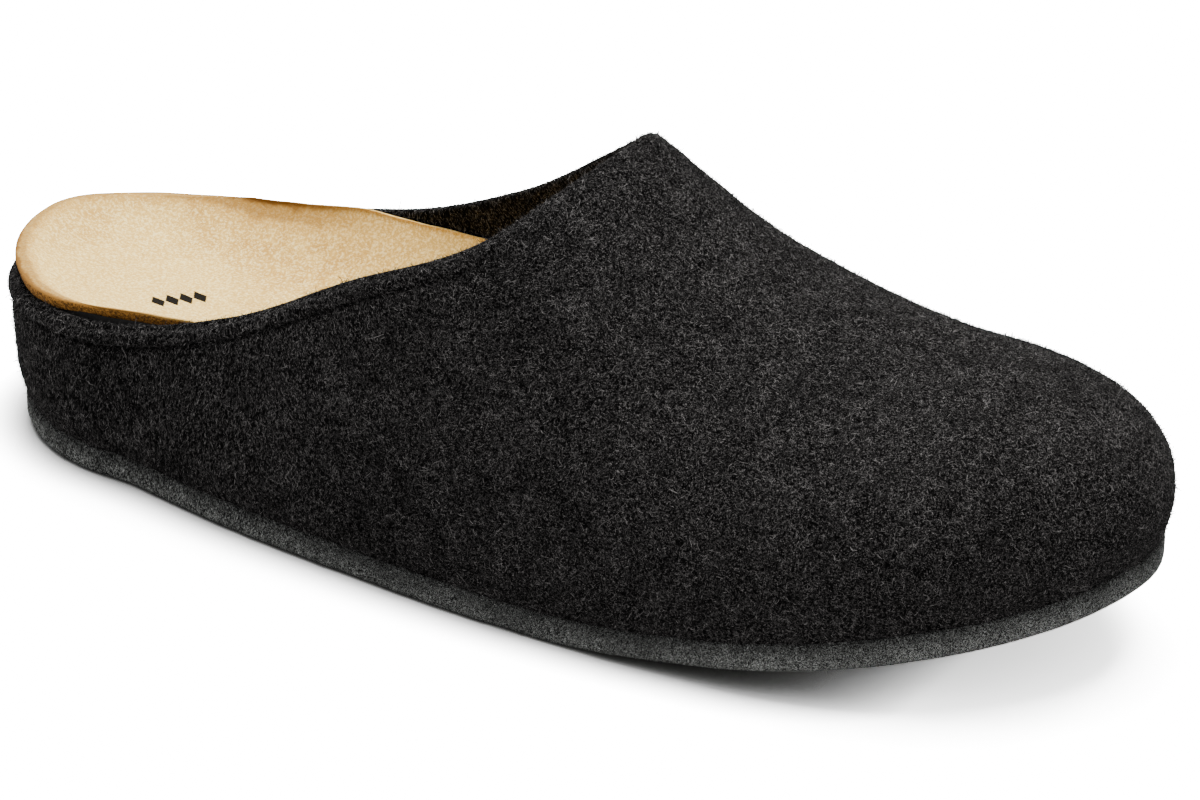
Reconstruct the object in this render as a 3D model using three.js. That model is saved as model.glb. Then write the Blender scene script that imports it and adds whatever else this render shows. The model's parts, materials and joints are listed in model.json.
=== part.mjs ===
// Felt slipper for the right foot, with a closed toe and an open back, standing empty on its sole.
// Millimetres, +Z up, toe towards +X. The inner side of the foot faces +Y and the outer side faces -Y.
// The upper, footbed, cover and outsole are all worked out from one last: an outline, a crest line and a
// collar line, given as short tables of shares of the main sizes.
import * as THREE from "three";
import { mergeVertices } from "three/addons/utils/BufferGeometryUtils.js";

// Main sizes of the last
const length = 291; // widest outline of the upper, heel to toe
const ballWidth = 115; // widest outline of the upper at the ball of the foot
const instepHeight = 89; // crest at the tip of the throat, above the top of the outsole
const heelHeight = 27.7; // collar at the back of the heel, above the top of the outsole

// Stations along the length
const heelShare = 0.155; // centre of the rounded heel
const ballShare = 0.709; // centre of the rounded toe
const throatShare = 0.551; // tip of the throat
const fanShare = 0.33; // where the rays of the wall start to lean towards the throat

// Outsole
const soleThickness = 7.2;
const toeSpring = 20.9;
const springShare = 0.59; // where the tread starts to lift towards the toe
const springPower = 1.5;
const heelLift = 2.9;
const heelLiftShare = 0.1; // length of the lifted back edge
const treadRounding = 2.2; // rounded edge at the floor
const topRounding = 1.3; // rounded edge at the seam

// Upper
const feltWall = 2.8;
const widestHeight = 9; // widest line of the wall, above the top of the outsole
const heelFlare = 4; // how far the back of the collar leans out, for each flareReach of height
const flareReach = 30;
const flareEnd = 0.3; // share of the length at which the lean has died out
const hemWidth = 3.8;
const hemStep = 0.7; // how far the turned hem stands proud of the wall at the heel
const hemFade = 0.8; // share of that step that is gone at the tip of the throat
const hemFadeStart = 0.5; // share of the way to the throat at which it starts to fade
const hemGroove = 0.5; // depth of the stitched line under the hem
const hemCrown = 1.2; // rounded top of the hem, above the collar line

// Footbed and its cover
const coverThickness = 1.8;
const cupPower = 3.2; // how late the footbed turns up into its rim

// Clearances
const jointGap = 0.3; // between faces that lie on each other
const wallGap = 0.55; // between the footbed and the felt wall

// Rays of the mesh on each side, from the tip of the toe to the back of the heel
const toeRays = 10;
const sideRays = 18;
const heelRays = 8;
const tuckShares = [0, 0.35, 0.7, 1]; // rings of the upper from its foot to its widest line
const faceRings = 11; // rings of the upper between its widest line and the hem
const ringCrowding = 1.3; // above 1 the rings lie closer together near the widest line
const hemRun = 1; // length of each slope of the hem's step
const crownTurns = [0.25, 0.5, 0.75]; // rings over the rounded top of the hem
const cornerTurns = [0.4, 1]; // rings round each edge of the outsole
const discShares = [0, 0.35, 0.7]; // rings of a flat face, from the ridge line to the edge
const bedShares = [1, 0.93, 0.82, 0.62, 0.35, 0]; // rings of the footbed's top, from the rim inwards
const bedSideShares = [0.33, 0.66]; // rings up the footbed's side
const mergeDistance = 0.0001;
const halvings = 18; // steps of the search for a place on the face
const searchDepth = 0.5; // share of a ray's reach that the search covers
const faceSteps = 60; // steps in which the length of the face is measured
const smallest = 1e-6; // keeps a width from being nought at the very tip of the toe

// Half widths from the ridge line, as shares of the ball width, and the ridge line's own shift inwards
const outlineTable = [
  { at: heelShare, outer: 0.376, inner: 0.265 },
  { at: 0.26, outer: 0.42, inner: 0.303 },
  { at: 0.4, outer: 0.473, inner: 0.337 },
  { at: 0.54, outer: 0.521, inner: 0.381 },
  { at: ballShare, outer: 0.549, inner: 0.451 },
];
const ridgeStart = 0.3;
const ridgePower = 1.5;
const ridgeShift = 0.069; // share of the ball width

// Powers of the rounded ends of the outline, where 2 is an ellipse and more is squarer
const roundness = { heel: 1.98, toeOuter: 2.02, toeInner: 2, toeCrest: 2.9 };

// Crest line above the top of the outsole, as shares of the instep height. Behind the throat it goes on
// over the open collar, and there it only shapes the lean of the side walls.
const crestTable = [
  { at: 0, height: 1.547 },
  { at: 0.2, height: 1.392 },
  { at: throatShare, height: 1 },
  { at: 0.62, height: 0.84 },
  { at: ballShare, height: 0.656 },
  { at: 0.8, height: 0.552 },
  { at: 0.9, height: 0.504 },
  { at: 1, height: 0.42 },
];

// Section powers: across is how soon the wall leans in, over is how round the top is
const sectionTable = [
  { at: throatShare, across: 1.15, over: 1.25 },
  { at: 0.88, across: 0.93, over: 0.9 },
];

// Collar line from the heel to the throat, as shares of the way to the throat and of the climb from the
// height of the heel to the height of the instep
const collarTable = [
  { at: 0, outer: 0, inner: 0 },
  { at: 0.12, outer: 0.028, inner: 0.04 },
  { at: 0.27, outer: 0.054, inner: 0.115 },
  { at: 0.5, outer: 0.242, inner: 0.233 },
  { at: 0.705, outer: 0.518, inner: 0.45 },
  { at: 0.875, outer: 0.719, inner: 0.75 },
  { at: 1, outer: 1, inner: 1 },
];

// How far the outsole's edge and the foot of the felt wall lie inside the widest outline
const tuckTable = [
  { at: 0, sole: 2.3, feather: 2.9 },
  { at: 0.35, sole: 1.1, feather: 1.7 },
  { at: 0.7, sole: 0.9, feather: 1.4 },
  { at: 1, sole: 1.7, feather: 2.4 },
];

// Top of the footbed above the top of the outsole, as shares of the heel height
const bedTable = [
  { at: 0, outer: 1.1, inner: 1.1, middle: 0.9 },
  { at: 0.07, outer: 1.13, inner: 1.165, middle: 0.9 },
  { at: 0.14, outer: 1.175, inner: 1.277, middle: 0.89 },
  { at: 0.2, outer: 1.26, inner: 1.37, middle: 0.875 },
  { at: 0.24, outer: 1.33, inner: 1.42, middle: 0.86 },
  { at: 0.37, outer: 1.2, inner: 1.4, middle: 0.73 },
  { at: 0.54, outer: 0.6, inner: 0.706, middle: 0.42 },
  { at: 0.7, outer: 0.26, inner: 0.27, middle: 0.224 },
  { at: 1, outer: 0.2, inner: 0.2, middle: 0.177 },
];

// How far the edge of the cover reaches out over the collar at the back of the heel
const overhangTable = [
  { at: 0, reach: 2.6 },
  { at: 0.07, reach: 2.6 },
  { at: 0.1, reach: 1.7 },
  { at: 0.13, reach: 0.4 },
  { at: 0.15, reach: 0 },
];

const heelX = heelShare * length;
const ballX = ballShare * length;
const throatX = throatShare * length;
const fanX = fanShare * length;

function clamp(value, low, high) {
  return Math.min(Math.max(value, low), high);
}

// Value of a column at a share of the length, along a smooth curve through the rows that never overshoots.
function along(table, column, share, levelEnds = false) {
  const at = clamp(share, table[0].at, table[table.length - 1].at);
  const steps = [];
  const slopes = [];
  for (let i = 0; i + 1 < table.length; i++) {
    steps.push(table[i + 1].at - table[i].at);
    slopes.push((table[i + 1][column] - table[i][column]) / steps[i]);
  }
  const last = slopes.length;
  const tangents = new Array(table.length).fill(0);
  if (!levelEnds) {
    tangents[0] = slopes[0];
    tangents[last] = slopes[last - 1];
  }
  for (let i = 1; i < last; i++) {
    if (slopes[i - 1] * slopes[i] <= 0) continue;
    const before = 2 * steps[i] + steps[i - 1];
    const after = steps[i] + 2 * steps[i - 1];
    tangents[i] = (before + after) / (before / slopes[i - 1] + after / slopes[i]);
  }
  let k = 0;
  while (k < last - 1 && at > table[k + 1].at) k++;
  const t = (at - table[k].at) / steps[k];
  const value0 = table[k][column] * (2 * t ** 3 - 3 * t ** 2 + 1);
  const value1 = table[k + 1][column] * (3 * t ** 2 - 2 * t ** 3);
  const slope0 = tangents[k] * steps[k] * (t ** 3 - 2 * t ** 2 + t);
  const slope1 = tangents[k + 1] * steps[k] * (t ** 3 - t ** 2);
  return value0 + value1 + slope0 + slope1;
}

// Quarter of a superellipse: how much is left at a share of its reach.
function rounded(share, power) {
  return (1 - clamp(share, 0, 1) ** power) ** (1 / power);
}

function ridgeY(x) {
  const share = clamp((x / length - ridgeStart) / (ballShare - ridgeStart), 0, 1);
  return ridgeShift * ballWidth * share ** ridgePower;
}

// Half width from the ridge line, on the outer side (-1) or the inner side (+1).
function halfWidth(x, side) {
  const column = side < 0 ? "outer" : "inner";
  const power = side < 0 ? roundness.toeOuter : roundness.toeInner;
  const toe = rounded((x - ballX) / (length - ballX), power);
  return ballWidth * along(outlineTable, column, x / length, true) * toe;
}

function treadZ(x) {
  const toe = clamp((x / length - springShare) / (1 - springShare), 0, 1);
  const heel = clamp((heelLiftShare - x / length) / heelLiftShare, 0, 1);
  return toeSpring * toe ** springPower + heelLift * heel ** 2;
}

function soleTopZ(x) {
  return treadZ(x) + soleThickness;
}

function widestZ(x) {
  return soleTopZ(x) + widestHeight;
}

function crestZ(x) {
  const height = soleTopZ(x) + instepHeight * along(crestTable, "height", x / length);
  const toe = rounded((x - ballX) / (length - ballX), roundness.toeCrest);
  return widestZ(x) + (height - widestZ(x)) * toe;
}

// Share of the half width that is left at a height between the widest line and the crest.
function widthLeft(x, z, low) {
  const rise = clamp((z - low) / (crestZ(x) - low), 0, 1);
  const over = along(sectionTable, "over", x / length);
  const across = along(sectionTable, "across", x / length);
  return (1 - rise ** (2 / over)) ** (across / 2);
}

// Height of the upper over a place on the floor.
function surfaceZ(x, y) {
  const offset = y - ridgeY(x);
  const share = clamp(Math.abs(offset) / Math.max(halfWidth(x, Math.sign(offset) || 1), smallest), 0, 1);
  const over = along(sectionTable, "over", x / length);
  const across = along(sectionTable, "across", x / length);
  return widestZ(x) + (crestZ(x) - widestZ(x)) * (1 - share ** (2 / across)) ** (over / 2);
}

function collarZ(x, side) {
  const share = clamp(x / throatX, 0, 1);
  const climb = along(collarTable, side < 0 ? "outer" : "inner", share);
  return soleThickness + heelHeight + (instepHeight + treadZ(throatX) - heelHeight) * climb;
}

function flareAt(x, z) {
  const back = clamp((flareEnd - x / length) / flareEnd, 0, 1);
  return (heelFlare * back * (z - widestZ(x))) / flareReach;
}

// One ray for each place round the outline, from the toe along the outer side to the heel and back along
// the inner side. base is on the ridge line and edge on the widest outline.
function makeRays() {
  const half = [];
  for (let i = 0; i < toeRays; i++) half.push({ zone: "toe", turn: (i / toeRays) * (Math.PI / 2) });
  for (let i = 0; i <= sideRays; i++) {
    half.push({ zone: "side", x: ballX + (heelX - ballX) * (i / sideRays) });
  }
  for (let i = 1; i <= heelRays; i++) half.push({ zone: "heel", turn: (i / heelRays) * (Math.PI / 2) });
  const numbered = half.map((ray, order) => ({ ...ray, order }));
  const outer = numbered.map((ray) => ({ ...ray, side: -1 }));
  const inner = numbered.slice(1, -1).reverse().map((ray) => ({ ...ray, side: 1 }));
  const rays = [...outer, ...inner];
  rays.forEach(placeRay);
  rays.forEach((ray, i) => {
    const before = rays[(i + rays.length - 1) % rays.length].edge;
    const after = rays[(i + 1) % rays.length].edge;
    ray.out = new THREE.Vector2(before.y - after.y, after.x - before.x).normalize();
  });
  const firstStraight = outer.find((ray) => ray.zone === "side" && ray.x < fanX);
  rays.forEach((ray) => placeCollar(ray, firstStraight));
  return rays;
}

// Distance from the centre of a rounded end to its outline, in one direction.
function endReach(lengthwise, crosswise, power, toward) {
  const a = (Math.abs(toward.x) / lengthwise) ** power;
  const b = (Math.abs(toward.y) / crosswise) ** power;
  return (a + b) ** (-1 / power);
}

function placeRay(ray) {
  if (ray.zone === "side") {
    ray.base = new THREE.Vector2(ray.x, ridgeY(ray.x));
    ray.toward = new THREE.Vector2(0, ray.side);
    ray.reach = halfWidth(ray.x, ray.side);
  }
  if (ray.zone === "toe") {
    const power = ray.side < 0 ? roundness.toeOuter : roundness.toeInner;
    ray.base = new THREE.Vector2(ballX, ridgeY(ballX));
    ray.toward = new THREE.Vector2(Math.cos(ray.turn), ray.side * Math.sin(ray.turn));
    ray.reach = endReach(length - ballX, halfWidth(ballX, ray.side), power, ray.toward);
  }
  if (ray.zone === "heel") {
    ray.base = new THREE.Vector2(heelX, ridgeY(heelX));
    ray.toward = new THREE.Vector2(-Math.sin(ray.turn), ray.side * Math.cos(ray.turn));
    ray.reach = endReach(heelX, halfWidth(heelX, ray.side), roundness.heel, ray.toward);
  }
  ray.edge = ray.base.clone().addScaledVector(ray.toward, ray.reach);
  ray.low = widestZ(ray.edge.x);
}

// Where a ray meets the collar line. Rays of the heel and the back of the sides rise straight up. Those
// further forward lean back towards the throat, spread along the rest of the collar line.
function placeCollar(ray, firstStraight) {
  ray.fans = ray.order < firstStraight.order;
  if (!ray.fans) {
    ray.collarZ = collarZ(ray.edge.x, ray.side);
    ray.left = widthLeft(ray.base.x, ray.collarZ, ray.low);
    ray.collar = ray.base.clone().addScaledVector(ray.toward, ray.reach * ray.left);
    return;
  }
  const share = 1 - ray.order / firstStraight.order;
  const x = firstStraight.x + (throatX - firstStraight.x) * Math.sin(share * (Math.PI / 2));
  ray.collarZ = collarZ(x, ray.side);
  ray.left = widthLeft(x, ray.collarZ, widestZ(x));
  ray.collar = new THREE.Vector2(x, ridgeY(x) + ray.side * halfWidth(x, ray.side) * ray.left);
}

// Point of the upper's outer face on a ray, from the widest line (0) to the collar line (1).
function facePoint(ray, share) {
  const x = ray.fans ? (ray.edge.x + ray.collar.x) / 2 : ray.base.x;
  const across = along(sectionTable, "across", x / length);
  const over = along(sectionTable, "over", x / length);
  const lastTurn = Math.asin(ray.left ** (1 / across));
  const turn = Math.PI / 2 + (lastTurn - Math.PI / 2) * share;
  const reached = Math.sin(turn) ** across;
  const place = ray.collar.clone();
  if (ray.left < 1) place.lerp(ray.edge, (reached - ray.left) / (1 - ray.left));
  if (ray.fans) return new THREE.Vector3(place.x, place.y, surfaceZ(place.x, place.y));
  const z = ray.low + (crestZ(ray.base.x) - ray.low) * Math.max(Math.cos(turn), 0) ** over;
  place.addScaledVector(ray.toward, flareAt(ray.edge.x, z));
  return new THREE.Vector3(place.x, place.y, z);
}

// Point of the outer face at a share of the tuck, from its foot on the outsole (0) to the widest line (1).
function tuckPoint(ray, share) {
  const feather = along(tuckTable, "feather", ray.edge.x / length);
  const inset = feather * (1 - Math.sin(share * (Math.PI / 2)));
  const place = ray.edge.clone().addScaledVector(ray.out, -inset);
  const foot = soleTopZ(place.x) + jointGap;
  return new THREE.Vector3(place.x, place.y, foot + (ray.low - foot) * share);
}

// How far the outer face lies inside the widest outline at a height below the collar.
function insetAt(ray, z) {
  if (z <= ray.low) {
    const feather = along(tuckTable, "feather", ray.edge.x / length);
    const foot = soleTopZ(ray.edge.x);
    return feather * (1 - Math.sin(((z - foot) / (ray.low - foot)) * (Math.PI / 2)));
  }
  if (!ray.fans) return ray.reach * (1 - widthLeft(ray.base.x, z, ray.low)) - flareAt(ray.edge.x, z);
  let [shallow, deep] = [0, ray.reach * searchDepth];
  for (let i = 0; i < halvings; i++) {
    const inset = (shallow + deep) / 2;
    const place = ray.edge.clone().addScaledVector(ray.out, -inset);
    if (surfaceZ(place.x, place.y) < z) shallow = inset;
    else deep = inset;
  }
  return deep;
}

// Shares of the way up a ray at the given distances from the collar line, measured along the face.
function sharesFromCollar(ray, distances) {
  const lengths = [0];
  let previous = facePoint(ray, 1);
  for (let i = 1; i <= faceSteps; i++) {
    const next = facePoint(ray, 1 - i / faceSteps);
    lengths.push(lengths[i - 1] + next.distanceTo(previous));
    previous = next;
  }
  return distances(lengths[faceSteps]).map((distance) => {
    let k = 1;
    while (k < faceSteps && lengths[k] < distance) k++;
    const part = (distance - lengths[k - 1]) / (lengths[k] - lengths[k - 1]);
    return 1 - (k - 1 + clamp(part, 0, 1)) / faceSteps;
  });
}

// A closed mesh from rings of points, each ring with one point for each ray. The first and last rings
// either meet, or shrink to the ridge line, where the points of both sides are the same. Each four-sided
// face is split along its shorter diagonal, so that layers lying on each other are split alike.
function skin(rings, name, material, meet = false) {
  const count = rings[0].length;
  const positions = rings.flatMap((ring) => ring.flatMap((point) => point.toArray()));
  const indices = [];
  const last = meet ? rings.length : rings.length - 1;
  for (let k = 0; k < last; k++) {
    const next = (k + 1) % rings.length;
    for (let i = 0; i < count; i++) {
      const j = (i + 1) % count;
      const [a, b] = [k * count + i, k * count + j];
      const [c, d] = [next * count + j, next * count + i];
      const across = rings[k][i].distanceTo(rings[next][j]);
      const back = rings[k][j].distanceTo(rings[next][i]);
      if (across < back) indices.push(a, c, b, a, d, c);
      else indices.push(a, d, b, b, d, c);
    }
  }
  const raw = new THREE.BufferGeometry();
  raw.setAttribute("position", new THREE.BufferAttribute(new Float32Array(positions), 3));
  raw.setIndex(indices);
  const geometry = mergeVertices(raw, mergeDistance);
  const kept = [];
  const index = geometry.index.array;
  for (let i = 0; i < index.length; i += 3) {
    const [a, b, c] = index.slice(i, i + 3);
    if (a !== b && b !== c && c !== a) kept.push(a, b, c);
  }
  geometry.setIndex(kept);
  geometry.computeVertexNormals();
  const mesh = new THREE.Mesh(geometry, material);
  mesh.name = name;
  return mesh;
}

function makeOutsole(rays) {
  const at = (ray, inset, rise) => {
    const edge = along(tuckTable, "sole", ray.edge.x / length);
    const place = ray.edge.clone().addScaledVector(ray.out, -edge - inset);
    return new THREE.Vector3(place.x, place.y, treadZ(place.x) + rise);
  };
  const inward = (ray, share, inset, rise) => {
    const edge = at(ray, inset, 0);
    const x = ray.base.x + (edge.x - ray.base.x) * share;
    const y = ray.base.y + (edge.y - ray.base.y) * share;
    return new THREE.Vector3(x, y, treadZ(x) + rise);
  };
  const corner = (rounding, turn) => rounding * (1 - Math.sin(turn * (Math.PI / 2)));
  const top = soleThickness;
  const rings = [];
  for (const share of discShares) rings.push(rays.map((ray) => inward(ray, share, treadRounding, 0)));
  rings.push(rays.map((ray) => at(ray, treadRounding, 0)));
  for (const turn of cornerTurns) {
    const rise = treadRounding * (1 - Math.cos(turn * (Math.PI / 2)));
    rings.push(rays.map((ray) => at(ray, corner(treadRounding, turn), rise)));
  }
  for (const turn of [...cornerTurns].reverse()) {
    const drop = topRounding * (1 - Math.cos(turn * (Math.PI / 2)));
    rings.push(rays.map((ray) => at(ray, corner(topRounding, turn), top - drop)));
  }
  rings.push(rays.map((ray) => at(ray, topRounding, top)));
  for (const share of [...discShares].reverse()) {
    rings.push(rays.map((ray) => inward(ray, share, topRounding, top)));
  }
  return skin(rings, "outsole", felt(0x62656a));
}

function makeUpper(rays) {
  const distances = (whole) => {
    const list = [];
    for (let j = 1; j <= faceRings; j++) {
      list.push(whole - (whole - hemWidth - hemRun) * (j / faceRings) ** ringCrowding);
    }
    return [...list, hemWidth, hemWidth - hemRun, hemWidth / 2, 0];
  };
  const lines = rays.map((ray) => {
    const tuck = tuckShares.map((share) => tuckPoint(ray, share));
    const face = sharesFromCollar(ray, distances).map((share) => facePoint(ray, share));
    return [...tuck, ...face];
  });
  const normals = faceNormals(lines, rays);
  const lifted = (k, lift) => lines.map((line, i) => line[k].clone().addScaledVector(normals[i][k], lift));
  const steps = rays.map((ray) => {
    const faded = clamp((ray.collar.x / throatX - hemFadeStart) / (1 - hemFadeStart), 0, 1);
    return hemStep * (1 - hemFade * faded);
  });
  const wallFoot = 0;
  const widest = tuckShares.length - 1;
  const groove = widest + faceRings + 1;
  const collar = groove + 3;
  const rings = [];
  for (let k = 0; k < groove; k++) rings.push(lifted(k, 0));
  rings.push(lifted(groove, -hemGroove));
  for (let k = groove + 1; k <= collar; k++) {
    rings.push(lines.map((line, i) => line[k].clone().addScaledVector(normals[i][k], steps[i])));
  }
  for (const turn of crownTurns) {
    const rise = hemCrown * Math.sin(turn * Math.PI);
    rings.push(
      lines.map((line, i) => {
        const half = (steps[i] + feltWall) / 2;
        const lift = steps[i] - half + half * Math.cos(turn * Math.PI);
        const up = line[collar].clone().sub(line[collar - 1]).normalize();
        return line[collar].clone().addScaledVector(normals[i][collar], lift).addScaledVector(up, rise);
      }),
    );
  }
  const innerLevels = [collar, groove];
  for (let k = widest + faceRings - 1; k > widest; k -= 2) innerLevels.push(k);
  for (const k of [...innerLevels, widest, widest - 2, wallFoot]) rings.push(lifted(k, -feltWall));
  return skin(rings, "upper", felt(0x2b2b2d), true);
}

// Unit vectors square to the outer face, level at its foot.
function faceNormals(lines, rays) {
  const count = lines.length;
  return lines.map((line, i) =>
    line.map((point, k) => {
      if (k === 0) return new THREE.Vector3(rays[i].out.x, rays[i].out.y, 0);
      const up = line[Math.min(k + 1, line.length - 1)].clone().sub(line[k - 1]);
      const round = lines[(i + 1) % count][k].clone().sub(lines[(i + count - 1) % count][k]);
      return up.cross(round).normalize();
    }),
  );
}

// Height of the footbed above the top of the outsole, at its rim or along its middle.
function bedHeight(x, column) {
  return heelHeight * along(bedTable, column, x / length);
}

// Point of a layer on the footbed: share runs from the ridge line (0) to the rim (1).
function bedPoint(ray, share, lift) {
  const rimZ = soleTopZ(ray.edge.x) + bedHeight(ray.edge.x, ray.side < 0 ? "outer" : "inner");
  const rim = wallFace(ray, rimZ + lift);
  const x = ray.base.x + (rim.x - ray.base.x) * share;
  const y = ray.base.y + (rim.y - ray.base.y) * share;
  const middleZ = soleTopZ(x) + bedHeight(x, "middle");
  const endZ = soleTopZ(rim.x) + bedHeight(rim.x, "middle");
  return new THREE.Vector3(x, y, middleZ + (rimZ - endZ) * share ** cupPower + lift);
}

// Place at a height where a piece inside the upper stands clear of its wall.
function wallFace(ray, z) {
  return ray.edge.clone().addScaledVector(ray.out, -insetAt(ray, z) - feltWall - wallGap);
}

function makeFootbed(rays) {
  const rings = [];
  const foot = (ray, share) => {
    const edge = wallFace(ray, soleTopZ(ray.edge.x) + jointGap);
    const x = ray.base.x + (edge.x - ray.base.x) * share;
    const y = ray.base.y + (edge.y - ray.base.y) * share;
    return new THREE.Vector3(x, y, soleTopZ(x) + jointGap);
  };
  for (const share of [...discShares, 1]) rings.push(rays.map((ray) => foot(ray, share)));
  for (const part of bedSideShares) {
    rings.push(
      rays.map((ray) => {
        const low = foot(ray, 1).z;
        const z = low + (bedPoint(ray, 1, 0).z - low) * part;
        const place = wallFace(ray, z);
        return new THREE.Vector3(place.x, place.y, z);
      }),
    );
  }
  for (const share of bedShares) rings.push(rays.map((ray) => bedPoint(ray, share, 0)));
  return skin(rings, "footbed", new THREE.MeshStandardMaterial({ color: 0xa98455, roughness: 0.9 }));
}

function makeCover(rays) {
  const edge = (ray, lift) => {
    const reach = along(overhangTable, "reach", ray.edge.x / length, true);
    const rim = bedPoint(ray, 1, lift);
    return new THREE.Vector3(rim.x + ray.out.x * reach, rim.y + ray.out.y * reach, rim.z);
  };
  const top = jointGap + coverThickness;
  const rings = [];
  for (const share of [...bedShares].reverse()) {
    rings.push(rays.map((ray) => bedPoint(ray, share, jointGap)));
  }
  for (const lift of [jointGap, top]) rings.push(rays.map((ray) => edge(ray, lift)));
  for (const share of bedShares) rings.push(rays.map((ray) => bedPoint(ray, share, top)));
  return skin(rings, "insole_cover", new THREE.MeshStandardMaterial({ color: 0xd8bd92, roughness: 0.85 }));
}

function felt(color) {
  return new THREE.MeshStandardMaterial({ color, roughness: 1, metalness: 0 });
}

const rays = makeRays();
const slipper = new THREE.Group();
slipper.add(makeOutsole(rays), makeUpper(rays), makeFootbed(rays), makeCover(rays));

// The origin is on the floor, under the middle of the whole slipper.
const middle = new THREE.Box3().setFromObject(slipper).getCenter(new THREE.Vector3());
slipper.position.set(-middle.x, -middle.y, 0);

export default slipper;
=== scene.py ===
import json
import math

import bmesh
import bpy
import numpy as np
from bpy.props import FloatProperty, FloatVectorProperty, PointerProperty
from mathutils import Matrix, Vector

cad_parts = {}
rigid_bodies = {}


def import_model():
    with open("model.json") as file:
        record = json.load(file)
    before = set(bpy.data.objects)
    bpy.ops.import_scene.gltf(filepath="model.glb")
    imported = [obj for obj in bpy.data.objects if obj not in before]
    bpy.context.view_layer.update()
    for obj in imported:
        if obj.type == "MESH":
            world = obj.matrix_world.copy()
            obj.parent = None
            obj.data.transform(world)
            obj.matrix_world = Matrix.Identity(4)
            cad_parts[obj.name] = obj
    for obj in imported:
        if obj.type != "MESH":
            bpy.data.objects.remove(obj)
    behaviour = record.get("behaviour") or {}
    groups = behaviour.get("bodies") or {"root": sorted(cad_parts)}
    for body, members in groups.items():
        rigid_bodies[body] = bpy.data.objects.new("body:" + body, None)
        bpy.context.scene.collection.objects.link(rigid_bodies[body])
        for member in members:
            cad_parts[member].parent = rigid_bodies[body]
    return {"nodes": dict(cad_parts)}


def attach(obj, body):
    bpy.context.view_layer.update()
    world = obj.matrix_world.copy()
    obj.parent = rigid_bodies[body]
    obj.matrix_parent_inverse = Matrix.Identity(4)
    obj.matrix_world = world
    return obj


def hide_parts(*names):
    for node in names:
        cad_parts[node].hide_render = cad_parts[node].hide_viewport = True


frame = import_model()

bl_info = {
    "name": "Felt slipper",
    "version": (1, 0, 0),
    "blender": (4, 5, 0),
    "location": "3D View > Sidebar > Slipper",
    "description": "Makes a felt slipper with its fibres, its suede insole and a studio floor",
    "category": "Add Mesh",
}


def rows(names, *values):
    """A table whose rows give a value to each name."""
    return [dict(zip(names.split(), row)) for row in values]


# Shape of the last, shared with the solids, with stations as shares of the length
HEEL_SHARE = 0.155
BALL_SHARE = 0.709
THROAT_SHARE = 0.551
FAN_SHARE = 0.33
SPRING_SHARE = 0.59
SPRING_POWER = 1.5
HEEL_LIFT_SHARE = 0.1
FLARE_REACH = 0.03
FLARE_END = 0.3
RIDGE_START = 0.3
RIDGE_POWER = 1.5
RIDGE_SHIFT = 0.069
HEEL_ROUNDNESS = 1.98
TOE_ROUNDNESS = {-1: 2.02, 1: 2.0}
CREST_ROUNDNESS = 2.9
HEM_FADE = 0.8
HEM_FADE_START = 0.5
HEM_FADE_POWER = 1.1
CUP_POWER = 3.2
JOINT_GAP = 0.0003
FOOT_GAP = 0.00006
WALL_GAP = 0.00055

# Rays and rings of the fine surfaces
TOE_RAYS = 44
SIDE_RAYS = 80
HEEL_RAYS = 30
TUCK_RINGS = 13
FACE_RINGS = 46
HEM_RINGS = 36
CROWN_RINGS = 10
TREAD_RINGS = 12
SOLE_TOP_RINGS = 8
EDGE_RINGS = 6
BED_RINGS = 30

# The hem, in metres
HEM_MARGIN = 0.0045  # how far below the hem the rings stay close
HEM_EDGE = 0.0002
HEM_SWELL = 0.0003
GROOVE_DROP = 0.0004
GROOVE_WIDTH = 0.0006
SHOULDER_DEPTH = 0.0011
TIP_SHOULDER = 0.6  # share of the shoulder that is lost at the throat's tip
TIP_CROWN = 0.3  # share by which its rounded top is higher there
TIP_RISE = 0.001
TIP_REACH = 0.012

# The insole's edge, in metres
LIP_DROP = 0.0011  # how much lower its burnished side hangs at the heel
EDGE_SAG = 0.00025  # how far its top sinks towards that side
EDGE_RADIUS = 0.0006
LOW_RADIUS = EDGE_RADIUS * 0.6

OUTLINE = rows(
    "at outer inner",
    (HEEL_SHARE, 0.376, 0.265),
    (0.26, 0.42, 0.303),
    (0.4, 0.473, 0.337),
    (0.54, 0.521, 0.381),
    (BALL_SHARE, 0.549, 0.451),
)
CREST = rows(
    "at height",
    (0, 1.547),
    (0.2, 1.392),
    (THROAT_SHARE, 1),
    (0.62, 0.84),
    (BALL_SHARE, 0.656),
    (0.8, 0.552),
    (0.9, 0.504),
    (1, 0.42),
)
SECTION = rows("at across over", (THROAT_SHARE, 1.15, 1.25), (0.88, 0.93, 0.9))
COLLAR = rows(
    "at outer inner",
    (0, 0, 0),
    (0.12, 0.028, 0.04),
    (0.27, 0.054, 0.115),
    (0.5, 0.242, 0.233),
    (0.705, 0.518, 0.45),
    (0.875, 0.719, 0.75),
    (1, 1, 1),
)
TUCK = rows(
    "at sole feather",
    (0, 0.0023, 0.0029),
    (0.35, 0.0011, 0.0017),
    (0.7, 0.0009, 0.0014),
    (1, 0.0017, 0.0024),
)
BED = rows(
    "at outer inner middle",
    (0, 1.1, 1.1, 0.9),
    (0.07, 1.13, 1.165, 0.9),
    (0.14, 1.175, 1.277, 0.89),
    (0.2, 1.26, 1.37, 0.875),
    (0.24, 1.33, 1.42, 0.86),
    (0.37, 1.2, 1.4, 0.73),
    (0.54, 0.6, 0.706, 0.42),
    (0.7, 0.26, 0.27, 0.224),
    (1, 0.2, 0.2, 0.177),
)
OVERHANG = rows("at reach", (0, 0.0026), (0.07, 0.0026), (0.1, 0.0017), (0.13, 0.0004), (0.15, 0))

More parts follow.
